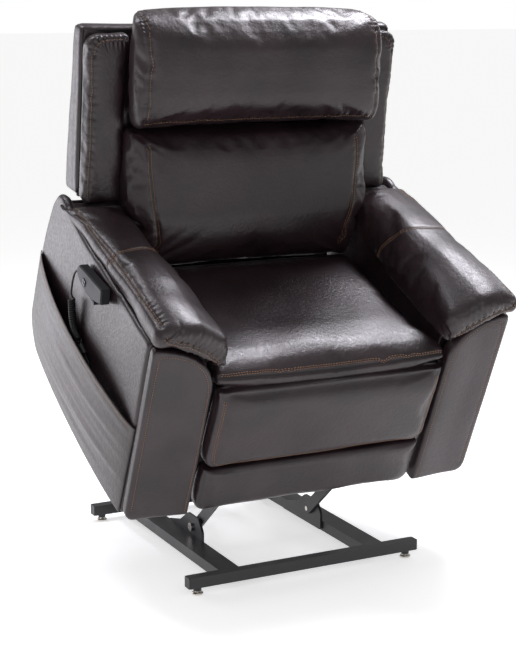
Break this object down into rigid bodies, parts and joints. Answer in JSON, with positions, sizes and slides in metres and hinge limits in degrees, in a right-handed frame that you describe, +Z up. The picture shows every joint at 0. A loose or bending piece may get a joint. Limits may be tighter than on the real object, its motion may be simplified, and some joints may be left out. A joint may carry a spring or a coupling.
{
  "type": "lift recliner chair",
  "caption": "Powered lift recliner chair on a steel base: tilting chair on a four-bar lift, reclining back, folding footrest, side pocket and corded handset.",
  "frame": {"origin": "on the floor, at the centre of the base", "axes": "+X to the sitter's left, +Y to the rear, +Z up; stored in the raised pose of the lift"},
  "size_m": [0.9089, 0.8082, 1.2586],
  "materials": {
    "chestnut_leather": "semi-gloss bonded leather, very dark brown",
    "black_frame": "satin black powder coat",
    "zinc_link": "zinc plated",
    "nickel": "nickel plated",
    "black_plastic": "fine moulded",
    "motor_tube": "black anodised",
    "handset_grey": "moulded",
    "button_grey": "soft",
    "plywood": "raw"
  },
  "bodies": {
    "base": {"base_cross_tubes": "black_frame", "base_side_rails": "black_frame", "tube_caps_and_collars": "black_plastic", "levelling_feet": "nickel", "base_lift_brackets": "black_frame", "base_pivot_bolts": "nickel"},
    "front_lift_link": {"front_lift_links": "black_frame"},
    "rear_lift_link": {"rear_lift_links": "black_frame"},
    "lift_motor": {"lift_motor_housing": "black_plastic", "lift_motor_tube": "motor_tube"},
    "lift_rod": {"lift_motor_rod": "nickel"},
    "chair": {"lift_frame_plates": "black_frame", "lift_frame_posts": "black_frame", "chair_pivot_pins": "nickel", "seat_frame": "black_frame", "seat_springs": "zinc_link", "mechanism_side_plates": "black_frame", "control_box": "black_plastic", "power_inlet": "black_plastic", "arm_side_panels": "chestnut_leather", "arm_front_panels": "chestnut_leather", "arm_inner_panels": "chestnut_leather", "arm_frames": "plywood", "left_arm_pad": "chestnut_leather", "right_arm_pad": "chestnut_leather", "rear_panel": "chestnut_leather", "seat_cushion": "chestnut_leather", "side_pocket": "chestnut_leather", "handset_holder": "handset_grey", "handset_rear_shell": "handset_grey", "handset_front_shell": "handset_grey", "cord_strain_relief": "black_plastic", "handset_cord_upper": "black_plastic", "handset_cord_coil": "black_plastic", "cord_connector": "black_plastic", "handset_cord_lower": "black_plastic", "cord_grommet": "black_plastic"},
    "recline_motor": {"recline_motor_housing": "black_plastic", "recline_motor_tube": "motor_tube"},
    "recline_rod": {"recline_motor_rod": "nickel"},
    "back": {"back_frame": "black_frame", "back_brackets": "black_frame", "back_board": "plywood", "back_outer_shell": "chestnut_leather", "left_wing": "chestnut_leather", "right_wing": "chestnut_leather", "lumbar_cushion": "chestnut_leather", "head_pillow": "chestnut_leather"},
    "footrest_front_link": {"footrest_front_links": "zinc_link"},
    "footrest_rear_link": {"footrest_rear_links": "zinc_link"},
    "footrest_carrier": {"footrest_carriers": "zinc_link"},
    "footrest_drive_link": {"footrest_drive_links": "zinc_link"},
    "footrest": {"footrest_board": "plywood", "footrest_lugs": "zinc_link", "footrest_upper_pad": "chestnut_leather", "footrest_lower_pad": "chestnut_leather"},
    "button_up": {"button_up": "button_grey"},
    "button_down": {"button_down": "button_grey"},
    "button_recline": {"button_recline": "button_grey"},
    "button_upright": {"button_upright": "button_grey"}
  },
  "joints": [
    {"name": "lift", "type": "hinge", "parent": "base", "child": "front_lift_link", "pos_m": [0, -0.025, 0.06], "axis": [1, 0, 0], "range_deg": [0, 38.6]},
    {"name": "chair_tilt", "type": "hinge", "parent": "front_lift_link", "child": "chair", "pos_m": [0, -0.21188, 0.21716], "axis": [-1, 0, 0], "range_deg": [0, 65.6]},
    {"name": "rear_link_swing", "type": "hinge", "parent": "base", "child": "rear_lift_link", "pos_m": [0, 0.239, 0.065], "axis": [1, 0, 0], "range_deg": [0, 26.3]},
    {"name": "lift_motor_swing", "type": "hinge", "parent": "base", "child": "lift_motor", "pos_m": [0, 0.262, 0.066], "axis": [1, 0, 0], "range_deg": [0, 25.02]},
    {"name": "lift_rod_extend", "type": "slide", "parent": "lift_motor", "child": "lift_rod", "axis": [0, 0.826, -0.5636], "range_m": [0, 0.06356]},
    {"name": "recline", "type": "hinge", "parent": "chair", "child": "back", "pos_m": [0, 0.11838, 0.66153], "axis": [-1, 0, 0], "range_deg": [0, 32]},
    {"name": "recline_motor_swing", "type": "hinge", "parent": "chair", "child": "recline_motor", "pos_m": [0, -0.23133, 0.42274], "axis": [1, 0, 0], "range_deg": [0, 3.73]},
    {"name": "recline_rod_retract", "type": "slide", "parent": "recline_motor", "child": "recline_rod", "axis": [0, -0.9146, -0.4044], "range_m": [0, 0.0367]},
    {"name": "footrest_open", "type": "hinge", "parent": "chair", "child": "footrest_front_link", "pos_m": [0, -0.29982, 0.43161], "axis": [-1, 0, 0], "range_deg": [0, 90]},
    {"name": "footrest_rear_link_swing", "type": "hinge", "parent": "chair", "child": "footrest_rear_link", "pos_m": [0, -0.23745, 0.46339], "axis": [-1, 0, 0], "range_deg": [0, 90]},
    {"name": "footrest_carrier_swing", "type": "hinge", "parent": "footrest_front_link", "child": "footrest_carrier", "pos_m": [0, -0.09807, 0.36606], "axis": [1, 0, 0], "range_deg": [0, 90]},
    {"name": "footrest_drive_swing", "type": "hinge", "parent": "footrest_front_link", "child": "footrest_drive_link", "pos_m": [0, -0.06003, 0.35369], "axis": [1, 0, 0], "range_deg": [0, 90]},
    {"name": "footrest_board_turn", "type": "hinge", "parent": "footrest_carrier", "child": "footrest", "pos_m": [0, -0.33101, 0.41572], "axis": [-1, 0, 0], "range_deg": [0, 90]},
    {"name": "button_up_press", "type": "slide", "parent": "chair", "child": "button_up", "axis": [1, 0, 0], "range_m": [0, 0.0015], "stiffness_N_per_m": 800, "springref_m": -0.0006},
    {"name": "button_down_press", "type": "slide", "parent": "chair", "child": "button_down", "axis": [1, 0, 0], "range_m": [0, 0.0015], "stiffness_N_per_m": 800, "springref_m": -0.0006},
    {"name": "button_recline_press", "type": "slide", "parent": "chair", "child": "button_recline", "axis": [1, 0, 0], "range_m": [0, 0.0015], "stiffness_N_per_m": 800, "springref_m": -0.0006},
    {"name": "button_upright_press", "type": "slide", "parent": "chair", "child": "button_upright", "axis": [1, 0, 0], "range_m": [0, 0.0015], "stiffness_N_per_m": 800, "springref_m": -0.0006}
  ],
  "couplings": [
    {"joint": "chair_tilt", "follows": "lift", "ratio": 1.6995},
    {"joint": "rear_link_swing", "follows": "lift", "ratio": 0.68135},
    {"joint": "lift_motor_swing", "follows": "lift", "ratio": 0.64818},
    {"joint": "lift_rod_extend", "follows": "lift", "m_per_rad": 0.094344},
    {"joint": "recline_motor_swing", "follows": "recline", "ratio": 0.11655},
    {"joint": "recline_rod_retract", "follows": "recline", "m_per_rad": 0.065714},
    {"joint": "footrest_rear_link_swing", "follows": "footrest_open", "ratio": 1},
    {"joint": "footrest_carrier_swing", "follows": "footrest_open", "ratio": 1},
    {"joint": "footrest_drive_swing", "follows": "footrest_open", "ratio": 1},
    {"joint": "footrest_board_turn", "follows": "footrest_open", "ratio": 1}
  ]
}
